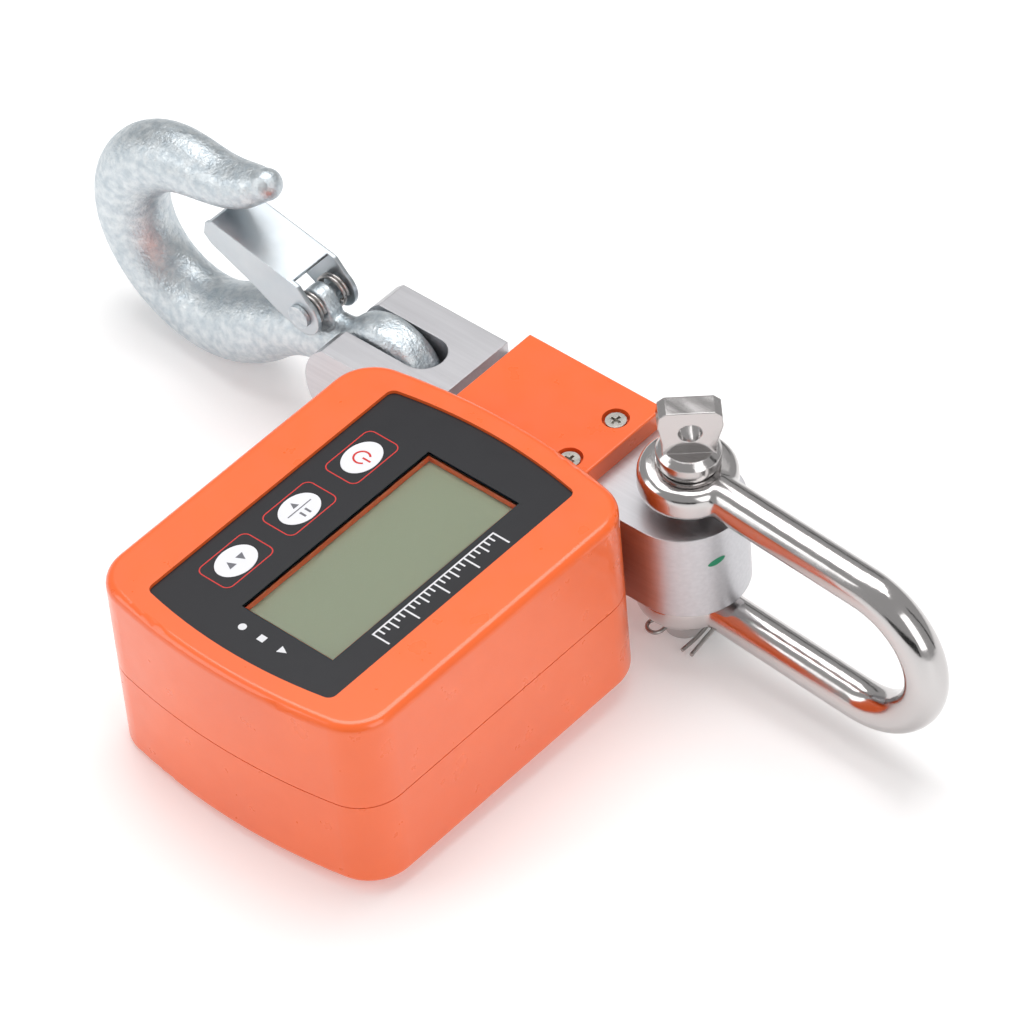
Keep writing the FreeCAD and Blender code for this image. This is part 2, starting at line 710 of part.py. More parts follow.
def gauges():
    """Foil gauges on the waist, the compound that covers them, and their cable."""
    foils, pads = [], []
    for z, pad_z in (("bar_z + bar_height / 2 - waist_depth", "bar_z + bar_height / 2 - waist_depth"),
                     ("bar_z - bar_height / 2 + waist_depth - 0.2", "bar_z - bar_height / 2 + waist_depth - 2")):
        pair = [block("7", "4", "0.2", "gauge_x", "bar_y + %d" % y, z) for y in (-6, 6)]
        foils.extend(pair)
        cover = block("16", "24", "2", "gauge_x", "bar_y", pad_z)
        pads.append(boolean("Cut", cover, group(pair)))
    keep(group(foils), "strain_gauges")
    keep(group(pads), "gauge_sealant")
    keep(signal_cable(), "signal_cable")


def signal_cable():
    """Lead from the gauge hole through the housing wall and up into the board socket."""
    bend = 6
    x = dim("gauge_x")
    z = dim("cable_z")
    socket_y = 36
    top = dim("board_top") - dim("board_thickness") - 3.6
    start = Vector(x, dim("bar_y") - 10, z)
    turn_in = Vector(x, socket_y + bend, z)
    diagonal = bend * (1 - math.sqrt(0.5))
    middle = Vector(x, socket_y + diagonal, z + diagonal)
    turn_out = Vector(x, socket_y, z + bend)
    path = Part.Wire([Part.makeLine(start, turn_in), Part.Arc(turn_in, middle, turn_out).toShape(),
                      Part.makeLine(turn_out, Vector(x, socket_y, top))])
    section = Part.Wire([Part.makeCircle(dim("cable_radius"), start, Vector(0, 1, 0))])
    cable = doc.addObject("Part::Feature", "Cable")
    cable.Shape = path.makePipeShell([section], True, True)
    return cable


# ---------------------------------------------------------------- hook


def local_to_hook(obj):
    """Hook pieces are drawn about the cross pin's axis."""
    place(obj, "hook_x", "bar_y", "bar_z")


def hook_pin():
    pin = cylinder("hook_pin_radius", "bar_width", "hook_x", "bar_y - bar_width / 2", "bar_z", ALONG_Y)
    keep(pin, "hook_pin")


def bowl_point(degrees):
    angle = math.radians(degrees)
    radius = dim("bowl_radius")
    return dim("bowl_x") + radius * math.cos(angle), dim("bowl_z") + radius * math.sin(angle)


def hook_sections():
    """Stations along the forging: x, z, direction in degrees, half depth, half thickness."""
    shank = [(-9, 0, 180, 13.5, 5.6), (-18.5, 0, 180, 9.8, 6.4), (-29, -1, 188, 8.2, 8),
             (-42, -6.2, 202, 9.8, 9.6)]
    bowl = [(*bowl_point(angle), angle - 90, half, half - 0.4)
            for angle, half in ((-62, 11.8), (-90, 11.3), (-118, 10.9), (-147, 10.8), (-180, 11.0),
                                (-210, 11.0), (-238, 10.6), (-261, 9.7))]
    tip = [(-57.4, 39.2, 18, 7.6, 7.8), (-48.9, 42.2, 27, 6.4, 6.8), (-43, 45.4, 30, 4.8, 5)]
    return shank + bowl + tip


def ellipse_wire(x, z, degrees, depth, thickness):
    """Elliptical section across the hook's centre line, with its seam underneath."""
    angle = math.radians(degrees)
    along = Vector(math.cos(angle), 0, math.sin(angle))
    across = Vector(-along.z, 0, along.x)
    points = []
    count = 12
    for step in range(count):
        turn = 2 * math.pi * step / count
        aside = Vector(0, thickness * math.sin(turn), 0)
        points.append(Vector(x, 0, z) + across * (depth * math.cos(turn)) + aside)
    curve = Part.BSplineCurve()
    curve.interpolate(points, PeriodicFlag=True)
    return Part.Wire([curve.toShape()])


def hook_forging():
    """Forged hook: round eye, tapering shank, bowl and flared tip, with a lug for the latch."""
    stations = [ellipse_wire(*station) for station in hook_sections()]
    forging = Part.makeLoft(stations, True, False)
    half = dim("hook_eye_thickness") / 2
    eye = Part.makeCylinder(dim("hook_eye_radius"), 2 * half, Vector(0, -half, 0), Vector(0, 1, 0))
    eye = eye.makeFillet(3.5, [edge for edge in eye.Edges if len(edge.Vertexes) == 1])
    lug_half = dim("lug_thickness") / 2
    lug_at = Vector(dim("rivet_x"), -lug_half, dim("rivet_z"))
    lug = Part.makeCylinder(dim("lug_radius"), 2 * lug_half, lug_at, Vector(0, 1, 0))
    foot = Part.makeBox(13, 2 * lug_half, 13, lug_at + Vector(-7, 0, -13.5))
    tip = Part.makeSphere(dim("tip_radius"), Vector(dim("tip_x"), 0, dim("tip_z")))
    forging = forging.fuse([eye, lug, foot, tip])
    hole = Part.makeCylinder(dim("hook_eye_hole_radius"), 40, Vector(0, -20, 0), Vector(0, 1, 0))
    rivet_hole = Part.makeCylinder(dim("rivet_radius") + dim("rivet_play"), 40, lug_at - Vector(0, 20, 0),
                                   Vector(0, 1, 0))
    forging = forging.cut([hole, rivet_hole])
    hook = doc.addObject("Part::Feature", "Hook")
    hook.Shape = forging
    local_to_hook(hook)
    keep(hook, "hook_forging")


def latch_rivet():
    """Rivet through the latch ears and the lug, with a head on each side."""
    axis = ("hook_x + rivet_x", "bar_z + rivet_z")
    shank = cylinder("rivet_radius", "latch_width + 2", axis[0], "bar_y - latch_width / 2 - 1", axis[1], ALONG_Y)
    heads = [cylinder("3.6", "1.3", axis[0], y, axis[1], ALONG_Y)
             for y in ("bar_y - latch_width / 2 - 1.4", "bar_y + latch_width / 2 + 0.1")]
    keep(fuse([shank] + heads), "latch_rivet")


def hook_latch():
    """Folded sheet latch: a roof between two flanges that narrow towards the free end."""
    reach = dim("latch_length")
    roof = dim("latch_roof")
    ear = dim("latch_ear_radius")
    outline = [(5.2, 4), (-2.5, roof), (-reach + 2, roof), (-reach, roof - 2), (-reach, roof - 6.5),
               (-reach + 3, roof - 8.6), (-20, roof - 11.6), (-8, -5.4), (0, -ear), (4, 0)]
    corners = [Vector(x, 0, z) for x, z in outline]
    width = dim("latch_width")
    sheet = dim("latch_sheet")
    blank = Part.Face(Part.makePolygon(corners + corners[:1])).extrude(Vector(0, width, 0))
    blank = blank.fuse(Part.makeCylinder(ear, width, Vector(), Vector(0, 1, 0))).removeSplitter()
    inner = Part.makeBox(2 * reach, width - 2 * sheet, 60, Vector(-1.5 * reach, sheet, roof - sheet - 60))
    throat = Part.makeBox(30, width - 2 * sheet, 60, Vector(-5, sheet, -30))
    hole = Part.makeCylinder(dim("rivet_radius") + dim("rivet_play"), width, Vector(), Vector(0, 1, 0))
    latch = doc.addObject("Part::Feature", "Latch")
    latch.Shape = blank.cut([inner, throat, hole])
    place(latch, "hook_x + rivet_x", "bar_y - latch_width / 2", "bar_z + rivet_z",
          Rotation(Vector(0, 1, 0), dim("latch_lift")))
    keep(latch, "hook_latch")


def latch_spring():
    """Double torsion spring: one coil each side of the lug."""
    coils = []
    for side in (-1, 1):
        wound = coil(1.25, 2.5, dim("coil_radius"), dim("coil_wire_radius"))
        start = 3.5 if side > 0 else -3.5 - 2.5
        wound.Placement = Placement(Vector(0, start, 0), ALONG_Y)
        coils.append(wound)
    spring = doc.addObject("Part::Feature", "Spring")
    spring.Shape = Part.makeCompound(coils)
    place(spring, "hook_x + rivet_x", "bar_y", "bar_z + rivet_z")
    keep(spring, "latch_spring")


# ---------------------------------------------------------------- shackle


def tilt_shackle(obj):
    """Shackle pieces are drawn about the pin's axis, then droop with the pin's play."""
    obj.Placement = Placement(Vector(), Rotation(Vector(0, 1, 0), dim("shackle_droop")))
    obj.setExpression("Placement.Rotation.Angle", formula("shackle_droop"))
    for axis, text in zip("xyz", ("shackle_x", "bar_y", "shackle_z")):
        obj.setExpression("Placement.Base." + axis, formula(text))


def turned(shape, angle):
    """The shape turned about the pin's axis to where it was left, with the turn worked in."""
    return shape.transformed(Placement(Vector(), Rotation(Vector(0, 0, 1), angle)).toMatrix(), True)


def shackle_bow():
    """Long bow of round rod with a flat eye on each leg."""
    body = new_body("shackle_bow")
    tilt_shackle(body)
    path = sketch_on(body, "XZ_Plane")
    gap = dim("bow_half_gap")
    leg = dim("bow_leg")
    start = dim("rod_start")
    path.addGeometry(Part.LineSegment(Vector(start, gap, 0), Vector(leg, gap, 0)), False)
    circle = Part.Circle(Vector(leg, 0, 0), Vector(0, 0, 1), gap)
    path.addGeometry(Part.ArcOfCircle(circle, -math.pi / 2, math.pi / 2), False)
    path.addGeometry(Part.LineSegment(Vector(leg, -gap, 0), Vector(start, -gap, 0)), False)
    path.addConstraint(Sketcher.Constraint("Tangent", 0, 2, 1, 2))
    path.addConstraint(Sketcher.Constraint("Tangent", 1, 1, 2, 1))
    path.addConstraint(Sketcher.Constraint("Horizontal", 0))
    path.addConstraint(Sketcher.Constraint("Horizontal", 2))
    path.addConstraint(Sketcher.Constraint("PointOnObject", 1, 3, -1))
    path.addConstraint(Sketcher.Constraint("Vertical", 0, 1, 2, 2))
    dimension(path, "bow_half_gap", gap, "Radius", 1)
    dimension(path, "bow_leg", leg, "DistanceX", -1, 1, 1, 3)
    dimension(path, "rod_start", start, "DistanceX", -1, 1, 0, 1)
    section = sketch_on(body, "YZ_Plane", "rod_start")
    section.addGeometry(Part.Circle(Vector(0, gap, 0), Vector(0, 0, 1), dim("bow_rod_radius")), False)
    dimension(section, "bow_rod_radius", dim("bow_rod_radius"), "Radius", 0)
    section.addConstraint(Sketcher.Constraint("PointOnObject", 0, 3, -2))
    dimension(section, "bow_half_gap", gap, "DistanceY", -1, 1, 0, 3)
    rod = body.newObject("PartDesign::AdditivePipe", "Rod")
    rod.Profile = section
    rod.Spine = (path, [])
    for low in ("eye_inner", "-eye_inner - eye_thickness"):
        cylinder("eye_radius", "eye_thickness", z=low, body=body)
    round_edges(body, "eye_round", lambda edge: edge.BoundBox.XMin < -dim("eye_radius") * 0.5
                and abs(edge.BoundBox.ZLength) < EXACT)
    for low in ("eye_inner - 2", "-eye_inner - eye_thickness - 2"):
        cylinder("eye_hole_radius", "eye_thickness + 4", z=low, body=body, cut=True)


def shackle_pin():
    """Turned pin with a collar and a flattened, drilled head; its end is stepped for the split pin."""
    outer = dim("eye_inner") + dim("eye_thickness")
    radius = dim("pin_radius")
    collar = dim("collar_radius")
    end = -outer - dim("pin_tail")
    profile = [(0, end), (4.8, end), (5.4, end + 0.6), (5.4, -outer - 1), (radius, -outer), (radius, outer + 0.3),
               (collar - 0.9, outer + 0.3), (collar - 0.9, outer + 1.7), (collar, outer + 1.9),
               (collar, outer + 5.2), (collar - 0.7, outer + 6), (collar - 1.9, outer + 7), (0, outer + 7)]
    points = [Vector(x, 0, z) for x, z in profile]
    spun = Part.Face(Part.makePolygon(points + points[:1])).revolve(Vector(), Vector(0, 0, 1), 360)
    head = turned(pin_head(outer), dim("head_turn"))
    cotter_z = -outer - dim("cotter_drop")
    cotter = Part.makeCylinder(dim("cotter_hole_radius"), 20, Vector(-10, 0, cotter_z), Vector(1, 0, 0))
    pin = doc.addObject("Part::Feature", "Pin")
    pin.Shape = spun.fuse(head).cut(turned(cotter, dim("cotter_turn")))
    tilt_shackle(pin)
    keep(pin, "shackle_pin")


def pin_head(outer):
    """Flat tab that widens towards its bevelled top, with a hole through it."""
    low = outer + 6
    top = outer + dim("head_height_over")
    right = [(7.2, low), (7.4, top - 11), (8.8, top - 5), (8.5, top - 1.6), (6.6, top)]
    tab = right + [(-x, z) for x, z in reversed(right)]
    thickness = dim("head_thickness")
    corners = [Vector(x, -thickness / 2, z) for x, z in tab]
    head = Part.Face(Part.makePolygon(corners + corners[:1])).extrude(Vector(0, thickness, 0))
    hole_at = Vector(0, -10, outer + dim("head_hole_height"))
    return head.cut(Part.makeCylinder(dim("head_hole_radius"), 20, hole_at, Vector(0, 1, 0)))


def split_pin():
    """Cotter of one bent wire: a ring on one side of the pin, two legs turned aside on the other."""
    z = -dim("eye_inner") - dim("eye_thickness") - dim("cotter_drop")
    near_leg = [(-5.6, -10.8), (-2, -9.2), (1.6, -7.3), (5.4, -4.8), (7.2, -2.3), (6.2, -0.7), (3, -0.68),
                (-1, -0.68), (-5, -0.7)]
    far_leg = [(-5, 0.7), (-1, 0.68), (3, 0.68), (7.4, 0.6), (9.3, -1.4), (7.9, -5.2), (4, -8.2),
               (-0.4, -11), (-4, -13.4)]
    turns = [math.radians(angle) for angle in range(-65, -300, -46)]
    ring = [(-8.6 + 2.3 * math.cos(turn), 2.3 * math.sin(turn)) for turn in turns]
    curve = Part.BSplineCurve()
    curve.interpolate([Vector(x, y, z) for x, y in near_leg + ring + far_leg])
    path = Part.Wire([curve.toShape()])
    start = curve.FirstParameter
    section = Part.Wire([Part.makeCircle(dim("cotter_radius"), curve.value(start), curve.tangent(start)[0])])
    cotter = doc.addObject("Part::Feature", "Cotter")
    cotter.Shape = turned(path.makePipeShell([section], True, False), dim("cotter_turn"))
    tilt_shackle(cotter)
    keep(cotter, "split_pin")


# ---------------------------------------------------------------- build and export


def check_document():
    """Stop before anything is written if a feature failed or a shape is not sound."""
    for obj in doc.Objects:
        if "Invalid" in obj.State or "Error" in obj.State:
            raise RuntimeError("%s (%s) did not compute" % (obj.Name, obj.Label))
    for obj in subparts:
        if obj.Shape.isNull() or not obj.Shape.isValid():
            raise RuntimeError("%s has no valid shape" % obj.Label)


def export():
    os.makedirs("parts", exist_ok=True)
    for obj in subparts:
        obj.Shape.exportStep("parts/%s.step" % obj.Label)
        box = obj.Shape.BoundBox
        print("%-18s solids %2d  volume %9.1f  z %6.1f to %5.1f"
              % (obj.Label, len(obj.Shape.Solids), obj.Shape.Volume, box.ZMin, box.ZMax))


def main():
    make_sheet()
    front_shell()
    rear_cover()
    case_seal()
    case_screws()
    plate_screws()
    display_overlay()
    keys()
    lcd()
    circuit_board()
    board_pieces()
    board_screws()
    battery_holder()
    battery_pieces()
    battery_door()
    load_cell_bar()
    gauges()
    hook_pin()
    hook_forging()
    hook_latch()
    latch_rivet()
    latch_spring()
    shackle_bow()
    shackle_pin()
    split_pin()
    doc.recompute()
    check_document()
    export()


main()
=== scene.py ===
"""Looks for a digital crane scale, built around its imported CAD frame."""

import json
import math

import bmesh
import bpy
from mathutils import Matrix, Vector


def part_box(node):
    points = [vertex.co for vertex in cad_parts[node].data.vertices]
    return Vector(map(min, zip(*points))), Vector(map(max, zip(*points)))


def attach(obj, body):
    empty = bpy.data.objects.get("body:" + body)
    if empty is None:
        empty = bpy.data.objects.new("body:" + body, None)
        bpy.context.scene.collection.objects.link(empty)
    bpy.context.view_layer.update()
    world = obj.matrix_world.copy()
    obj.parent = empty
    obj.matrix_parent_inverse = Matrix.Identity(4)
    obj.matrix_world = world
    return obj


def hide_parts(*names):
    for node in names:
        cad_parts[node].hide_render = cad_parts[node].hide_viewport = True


MM = 0.001

# Camera: direction it looks from, in degrees, with its roll, place and lens.
CAMERA_TURN = 45.4
CAMERA_LIFT = 44.2
CAMERA_ROLL = -5.6
CAMERA_PLACE = (894.2, -825.6, 1247.0)
LENS = 227.2

# The scale rests on the housing's back edge, the hook and the pin's end.
REST_POINT = (-44.5, -48.8, 0.0)
REST_SLOPE = (-0.0466, -0.0326)

# Printing stands this far proud of the surface below it, in millimetres.
INK = 0.03

# The dab of paint on the bar's round end: degrees about its axis, and height in millimetres.
MARK_TURN = -20.5
MARK_HEIGHT = 33.2

# Lamps and cards face this point, in metres.
AIM = Vector((0, 0.04, 0.03))

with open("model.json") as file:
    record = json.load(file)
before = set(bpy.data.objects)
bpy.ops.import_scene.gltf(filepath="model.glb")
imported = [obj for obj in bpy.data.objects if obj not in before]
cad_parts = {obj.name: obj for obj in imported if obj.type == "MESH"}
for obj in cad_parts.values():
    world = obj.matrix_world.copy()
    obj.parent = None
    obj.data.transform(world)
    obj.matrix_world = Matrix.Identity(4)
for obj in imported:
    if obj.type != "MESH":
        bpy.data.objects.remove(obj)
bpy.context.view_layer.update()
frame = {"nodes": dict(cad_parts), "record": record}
nodes = frame["nodes"]


# ---------------------------------------------------------------- materials


class Paint:
    """A Principled material with fine wear in its colour, roughness and surface."""

    def __init__(self, name, color, roughness, metallic=0.0, **sockets):
        self.name = name
        self.material = bpy.data.materials.new(name)
        self.material.use_nodes = True
        self.tree = self.material.node_tree
        self.shader = self.tree.nodes["Principled BSDF"]
        self.place = self.node("ShaderNodeTexCoord").outputs["Object"]
        self.color = color
        self.shader.inputs["Base Color"].default_value = (*color, 1)
        self.shader.inputs["Roughness"].default_value = roughness
        self.shader.inputs["Metallic"].default_value = metallic
        for socket, value in sockets.items():
            self.shader.inputs[socket.replace("_", " ")].default_value = value
        self.normal = None

    def node(self, kind, **values):
        made = self.tree.nodes.new(kind)
        for name, value in values.items():
            setattr(made, name, value)
        return made

    def link(self, source, target):
        self.tree.links.new(source, target)

    def noise(self, scale, detail=4.0, stretch=(1, 1, 1)):
        """Noise in the row frame; scale is per metre and stretch gives it a grain."""
        mapping = self.node("ShaderNodeMapping")
        mapping.inputs["Scale"].default_value = stretch
        self.link(self.place, mapping.inputs["Vector"])
        noise = self.node("ShaderNodeTexNoise")
        noise.inputs["Scale"].default_value = scale
        noise.inputs["Detail"].default_value = detail
        self.link(mapping.outputs["Vector"], noise.inputs["Vector"])
        return noise.outputs["Fac"]

    def spread(self, value, low, high, start=0.3, end=0.7):
        """Stretch a value between start and end onto low to high."""
        ramp = self.node("ShaderNodeMapRange")
        self.link(value, ramp.inputs["Value"])
        ramp.inputs["From Min"].default_value = start
        ramp.inputs["From Max"].default_value = end
        ramp.inputs["To Min"].default_value = low
        ramp.inputs["To Max"].default_value = high
        return ramp.outputs["Result"]

    def mottle(self, other, scale, start=0.35, end=0.65, **grain):
        """Vary the colour towards another one."""
        mix = self.node("ShaderNodeMix", data_type="RGBA")
        self.link(self.spread(self.noise(scale, **grain), 0, 1, start, end), mix.inputs["Factor"])
        mix.inputs[6].default_value = (*self.color, 1)
        mix.inputs[7].default_value = (*other, 1)
        self.link(mix.outputs[2], self.shader.inputs["Base Color"])
        return self

    def wear(self, low, high, scale, **grain):
        self.link(self.spread(self.noise(scale, **grain), low, high), self.shader.inputs["Roughness"])
        return self

    def soften(self, radius):
        """Round the look of sharp edges; radius in millimetres."""
        bevel = self.node("ShaderNodeBevel", samples=4)
        bevel.inputs["Radius"].default_value = radius * MM
        self.normal = bevel.outputs["Normal"]
        self.link(self.normal, self.shader.inputs["Normal"])
        return self

    def bump(self, scale, height, **grain):
        """Raise the surface by noise; height in millimetres."""
        bump = self.node("ShaderNodeBump")
        bump.inputs["Distance"].default_value = height * MM
        self.link(self.noise(scale, **grain), bump.inputs["Height"])
        if self.normal is not None:
            self.link(self.normal, bump.inputs["Normal"])
        self.normal = bump.outputs["Normal"]
        self.link(self.normal, self.shader.inputs["Normal"])
        return self


def orange_paint():
    paint = Paint("orange_paint", (0.95, 0.145, 0.022), 0.32, Coat_Weight=0.5, Coat_Roughness=0.07)
    return paint.mottle((0.90, 0.135, 0.025), 30).wear(0.26, 0.38, 120).bump(140, 0.006, detail=1)


def overlay_print():
    paint = Paint("overlay_print", (0.018, 0.018, 0.021), 0.4, Specular_IOR_Level=0.3)
    return paint.wear(0.34, 0.44, 200).bump(2500, 0.012)


def clear_window():
    paint = Paint("clear_window", (1, 1, 1), 0.03, Transmission_Weight=1.0, IOR=1.2)
    return paint.bump(60, 0.01)


def lcd_glass():
    paint = Paint("lcd_glass", (0.29, 0.33, 0.225), 0.3)
    return paint.mottle((0.27, 0.31, 0.205), 9, start=0.2, end=0.8, detail=0).wear(0.28, 0.32, 90)


def key_white():
    return Paint("key_white", (0.8, 0.8, 0.83), 0.42).wear(0.38, 0.5, 300).bump(1500, 0.01)


def bar_aluminium():
    paint = Paint("bar_aluminium", (0.60, 0.595, 0.615), 0.4, 1.0)
    paint.mottle((0.56, 0.555, 0.575), 30, stretch=(1, 30, 30)).wear(0.36, 0.44, 40, stretch=(1, 40, 40))
    return paint.soften(0.4).bump(60, 0.006, stretch=(1, 60, 60))


def zinc_forging():
    paint = Paint("zinc_forging", (0.51, 0.57, 0.61), 0.42, 1.0)
    paint.mottle((0.68, 0.72, 0.74), 420, detail=8).wear(0.34, 0.56, 500, detail=6)
    return paint.bump(1100, 0.28, detail=6)


def zinc_sheet():
    paint = Paint("latch_steel", (0.50, 0.545, 0.58), 0.34, 1.0)
    return paint.mottle((0.58, 0.61, 0.63), 60).wear(0.28, 0.42, 90).soften(0.6).bump(160, 0.05)


def polished_steel():
    paint = Paint("polished_steel", (0.58, 0.56, 0.555), 0.15, 1.0)
    return paint.wear(0.09, 0.2, 70, stretch=(1, 5, 5)).soften(0.5).bump(55, 0.06)


def plain_steel(name, color, roughness):
    paint = Paint(name, color, roughness, 1.0)
    return paint.wear(roughness - 0.06, roughness + 0.08, 260).soften(0.2).bump(500, 0.02)


def plain_plastic(name, color, roughness):
    return Paint(name, color, roughness).wear(roughness - 0.05, roughness + 0.06, 240).bump(900, 0.02)


def cell_wrap():
    return Paint("cell_wrap", (0.03, 0.05, 0.2), 0.25).mottle((0.02, 0.035, 0.15), 40).wear(0.2, 0.32, 80)


def board_green():
    paint = Paint("board_green", (0.01, 0.12, 0.045), 0.35)
    return paint.mottle((0.012, 0.17, 0.06), 260, start=0.49, end=0.51).wear(0.3, 0.42, 300)


def make_materials():
    made = [orange_paint(), overlay_print(), clear_window(), lcd_glass(), key_white(), bar_aluminium(),
            zinc_forging(), zinc_sheet(), polished_steel(), cell_wrap(), board_green()]
    for name, color, roughness in (("screw_steel", (0.56, 0.54, 0.50), 0.3),
                                   ("contact_steel", (0.46, 0.435, 0.42), 0.3),
                                   ("switch_metal", (0.6, 0.6, 0.6), 0.35),
                                   ("pin_steel", (0.70, 0.70, 0.71), 0.25)):
        made.append(plain_steel(name, color, roughness))
    for name, color, roughness in (("light_guide", (0.8, 0.82, 0.8), 0.3),
                                   ("chip_black", (0.02, 0.02, 0.02), 0.5),
                                   ("socket_nylon", (0.75, 0.7, 0.6), 0.5),
                                   ("plunger_black", (0.02, 0.02, 0.02), 0.5),
                                   ("seal_rubber", (0.015, 0.015, 0.015), 0.7),
                                   ("black_plastic", (0.02, 0.02, 0.022), 0.45),
                                   ("gauge_foil", (0.6, 0.4, 0.12), 0.35),
                                   ("sealant_white", (0.75, 0.75, 0.72), 0.5),
                                   ("cable_jacket", (0.05, 0.05, 0.055), 0.5)):
        made.append(plain_plastic(name, color, roughness))
    return {paint.name: paint.material for paint in made}


def dress(obj, material):
    obj.data.materials.clear()
    obj.data.materials.append(material)


def dress_nodes(materials):
    for entry in frame["record"]["subparts"]:
        dress(nodes[entry["node"]], materials[entry["material_slot"]])
        for face in nodes[entry["node"]].data.polygons:
            face.material_index = 0


# ---------------------------------------------------------------- rounded steel


def melt(node, body, slot, grain, rounds):
    """A finer copy of a forged node, its joins worn smooth; grain in millimetres."""
    piece = bpy.data.objects.new(node + "_smooth", nodes[node].data.copy())
    bpy.context.scene.collection.objects.link(piece)
    remesh = piece.modifiers.new("grain", "REMESH")
    remesh.mode = "VOXEL"
    remesh.voxel_size = grain * MM
    smooth = piece.modifiers.new("rounding", "SMOOTH")
    smooth.factor = 0.5
    smooth.iterations = rounds
    graph = bpy.context.evaluated_depsgraph_get()
    mesh = bpy.data.meshes.new_from_object(piece.evaluated_get(graph))
    piece.modifiers.clear()
    piece.data = mesh
    for face in mesh.polygons:
        face.use_smooth = True
    dress(piece, materials[slot])
    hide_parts(node)
    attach(piece, body)


# ---------------------------------------------------------------- printing


def flat_piece(name, outlines, z, material, body):
    """Thin printed faces, each outline a list of points in millimetres."""
    mesh = bpy.data.meshes.new(name)
    work = bmesh.new()
    for outline in outlines:
        work.faces.new([work.verts.new((x * MM, y * MM, z * MM)) for x, y in outline])
    work.to_mesh(mesh)
    work.free()
    piece = bpy.data.objects.new(name, mesh)
    bpy.context.scene.collection.objects.link(piece)
    dress(piece, material)
    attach(piece, body)


def band(points, width, closed=True):
    """Quads that follow a line at an even width."""
    count = len(points)
    sides = []
    for index in range(count):
        before = points[index - 1] if closed or index else points[index]
        after = points[(index + 1) % count] if closed or index < count - 1 else points[index]
        along = (Vector(after) - Vector(before)).normalized()
        across = Vector((-along.y, along.x)) * width / 2
        sides.append((Vector(points[index]) - across, Vector(points[index]) + across))
    steps = range(count if closed else count - 1)
    return [[sides[i][0], sides[(i + 1) % count][0], sides[(i + 1) % count][1], sides[i][1]] for i in steps]


def rounded(x, y, length, width, radius):
    """Outline of a rounded rectangle, length along x."""
    points = []
    for turn in range(4):
        right = 1 if turn in (0, 3) else -1
        up = 1 if turn in (0, 1) else -1
        for step in range(7):
            angle = math.radians(90 * turn + 15 * step)
            points.append((x + right * (length / 2 - radius) + radius * math.cos(angle),
                           y + up * (width / 2 - radius) + radius * math.sin(angle)))
    return points


def arc(x, y, radius, start, end, count=28):
    angles = [math.radians(start + (end - start) * step / count) for step in range(count + 1)]
    return [(x + radius * math.cos(angle), y + radius * math.sin(angle)) for angle in angles]


def arrow(x, y, way, half=1.3):
    """Triangle that points along +x or -x, its corners in the same order either way."""
    return [(x + way * half, y), (x - way * half, y + half), (x - way * half, y - half)][::way]


def oblong(x, y, length, width):
    return [(x - length / 2, y - width / 2), (x + length / 2, y - width / 2),
            (x + length / 2, y + width / 2), (x - length / 2, y + width / 2)]


def key_centre(node):
    """Middle of a key in millimetres, seen from above."""
    low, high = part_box(node)
    return (low.x + high.x) / 2 / MM, (low.y + high.y) / 2 / MM


def printing():
    """Key surrounds, key signs, unit marks and a ruled strip on the display overlay."""
    red = plain_plastic("ink_red", (0.62, 0.02, 0.015), 0.4).material
    white = plain_plastic("ink_white", (0.72, 0.72, 0.74), 0.4).material
    grey = plain_plastic("ink_grey", (0.14, 0.14, 0.16), 0.4).material
    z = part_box("display_overlay")[1].z / MM + INK
    key_x, power_y = key_centre("power_button")
    hold_y = key_centre("hold_button")[1]
    unit_y = key_centre("unit_button")[1]
    surrounds = []
    for y in (power_y, hold_y, unit_y):
        surrounds += band(rounded(key_x, y, 11.6, 18.6, 2.2), 0.35)
    flat_piece("key_surrounds", surrounds, z, red, "scale_body")
    power = band(arc(key_x, power_y, 2.3, 40, 320), 0.6, closed=False)
    power.append(oblong(key_x + 1.7, power_y, 2.8, 0.6))
    flat_piece("power_sign", power, z, red, "power_key")
    hold = [oblong(key_x, hold_y, 0.35, 9), oblong(key_x + 2.2, hold_y + 1, 2.2, 0.7),
            oblong(key_x + 2.2, hold_y - 1, 2.2, 0.7), arrow(key_x - 2.2, hold_y, -1, 1.1)]
    flat_piece("hold_sign", hold, z, grey, "hold_key")
    unit = [arrow(key_x + 0.3, unit_y + 2, 1), arrow(key_x - 0.3, unit_y - 2, -1)]
    flat_piece("unit_sign", unit, z, grey, "unit_key")
    marks = [arc(-4, -42, 1.2, 0, 342, 19), oblong(3, -42, 2.2, 2.2), arrow(10.5, -42, 1, 1.3)]
    for step in range(25):
        height = 5.6 if step % 6 == 0 else 3.6 if step % 3 == 0 else 2.2
        marks.append(oblong(25.2 + height / 2, -23.2 + 1.96 * step, height, 0.55))
    marks.append(oblong(25.0, 0.3, 0.5, 47.6))
    flat_piece("unit_marks_and_rule", marks, z, white, "scale_body")


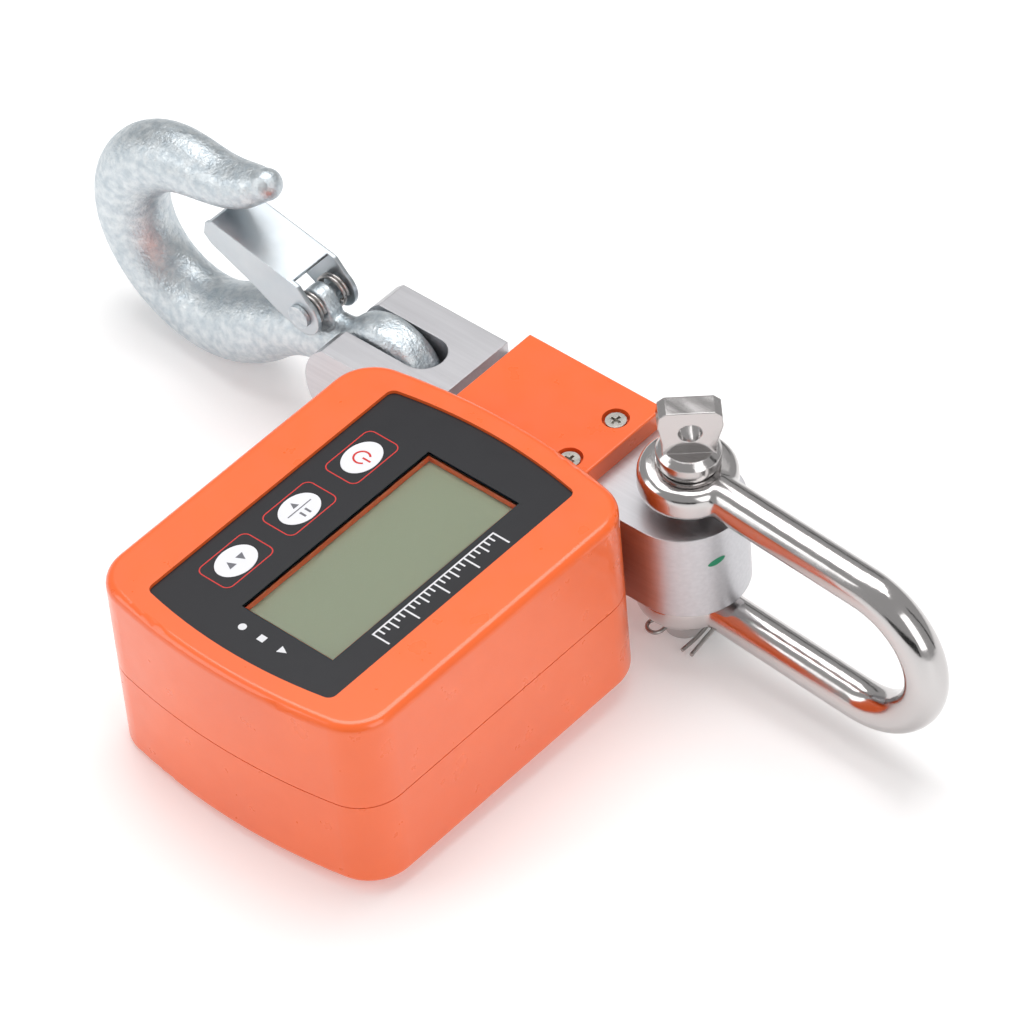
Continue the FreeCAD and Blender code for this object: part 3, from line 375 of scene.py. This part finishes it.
def paint_mark(node, turn, height):
    """Leaf-shaped dab of green paint on the bar's round end, at an angle about its axis and a height."""
    low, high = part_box(node)
    radius = (high.y - low.y) / 2
    centre = Vector((high.x - radius, (high.y + low.y) / 2, 0))
    mesh = bpy.data.meshes.new("paint_mark")
    work = bmesh.new()
    rows = []
    for step in range(13):
        along = step / 6 - 1
        angle = math.radians(turn + 9 * along)
        half = 1.0 * MM * (1 - along * along) ** 0.7 + 0.12 * MM
        out = centre + Vector((math.cos(angle), math.sin(angle), 0)) * (radius + INK * MM)
        middle = height * MM + 0.5 * MM * along
        rows.append([work.verts.new(out + Vector((0, 0, middle + half * side))) for side in (-1, 1)])
    for before, after in zip(rows, rows[1:]):
        work.faces.new((before[0], after[0], after[1], before[1]))
    work.to_mesh(mesh)
    work.free()
    piece = bpy.data.objects.new("paint_mark", mesh)
    bpy.context.scene.collection.objects.link(piece)
    dress(piece, plain_plastic("ink_green", (0.0, 0.22, 0.1), 0.4).material)
    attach(piece, "scale_body")


# ---------------------------------------------------------------- studio


def facing(direction):
    """Rotation that turns +z along a direction."""
    return direction.to_track_quat("Z", "Y").to_euler()


def slab(name, place, direction, size, material):
    """A staged rectangle that faces along a direction."""
    bpy.ops.mesh.primitive_plane_add(size=1)
    plane = bpy.context.object
    plane.name = name
    plane.scale = (*size, 1)
    plane.location = place
    plane.rotation_euler = facing(direction)
    dress(plane, material)
    return plane


def floor():
    paint = Paint("floor", (0.92, 0.92, 0.92), 0.6, Emission_Strength=0.18).mottle((0.9, 0.9, 0.9), 3)
    paint.shader.inputs["Emission Color"].default_value = (1, 1, 1, 1)
    normal = Vector((-REST_SLOPE[0], -REST_SLOPE[1], 1)).normalized()
    slab("floor", Vector(REST_POINT) * MM, normal, (12, 12), paint.material)


def card(name, place, size, brightness):
    """A card beside the object that only reflections see."""
    material = bpy.data.materials.new(name)
    material.use_nodes = True
    shader = material.node_tree.nodes["Principled BSDF"]
    shader.inputs["Base Color"].default_value = (brightness, brightness, brightness, 1)
    shader.inputs["Roughness"].default_value = 1
    plane = slab(name, place, AIM - Vector(place), size, material)
    plane.visible_camera = False
    plane.visible_shadow = False
    plane.visible_diffuse = False


def lamp(name, place, size, watts):
    light = bpy.data.lights.new(name, "AREA")
    light.shape = "RECTANGLE"
    light.size, light.size_y = size
    light.energy = watts
    holder = bpy.data.objects.new(name, light)
    bpy.context.scene.collection.objects.link(holder)
    holder.location = place
    holder.rotation_euler = facing(Vector(place) - AIM)


def studio():
    scene = bpy.context.scene
    world = bpy.data.worlds.new("studio")
    world.use_nodes = True
    world.node_tree.nodes["Background"].inputs["Color"].default_value = (1, 1, 1, 1)
    world.node_tree.nodes["Background"].inputs["Strength"].default_value = 0.435
    scene.world = world
    scene.view_settings.view_transform = "Standard"
    floor()
    lamp("overhead", (-0.15, 0.3, 1.1), (1.0, 0.8), 9)
    lamp("front_left", (-0.8, -0.9, 0.7), (0.8, 0.8), 4.4)
    lamp("right", (1.1, -0.1, 0.6), (0.6, 0.9), 3.7)
    card("dark_front", (0.55, -0.75, 0.12), (0.9, 0.28), 0.02)
    card("dark_right", (0.8, 0.75, 0.35), (0.12, 0.9), 0.02)
    card("dark_back", (-0.5, 0.9, 0.45), (0.9, 0.14), 0.05)


def camera():
    turn, lift, roll = (math.radians(angle) for angle in (CAMERA_TURN, CAMERA_LIFT, CAMERA_ROLL))
    right = Vector((math.cos(turn), math.sin(turn), 0))
    back = Vector((math.sin(turn) * math.cos(lift), -math.cos(turn) * math.cos(lift), math.sin(lift)))
    up = back.cross(right)
    rolled_right = right * math.cos(roll) + up * math.sin(roll)
    rolled_up = up * math.cos(roll) - right * math.sin(roll)
    data = bpy.data.cameras.new("camera")
    data.lens = LENS
    data.sensor_width = 36
    data.clip_end = 20
    holder = bpy.data.objects.new("camera", data)
    bpy.context.scene.collection.objects.link(holder)
    axes = Matrix((rolled_right, rolled_up, back)).transposed().to_4x4()
    holder.matrix_world = Matrix.Translation(Vector(CAMERA_PLACE) * MM) @ axes
    bpy.context.scene.camera = holder


materials = make_materials()
dress_nodes(materials)
melt("hook_forging", "hook", "zinc_forging", 0.7, 10)
melt("shackle_bow", "shackle", "polished_steel", 0.6, 8)
printing()
paint_mark("load_cell_bar", MARK_TURN, MARK_HEIGHT)
studio()
camera()
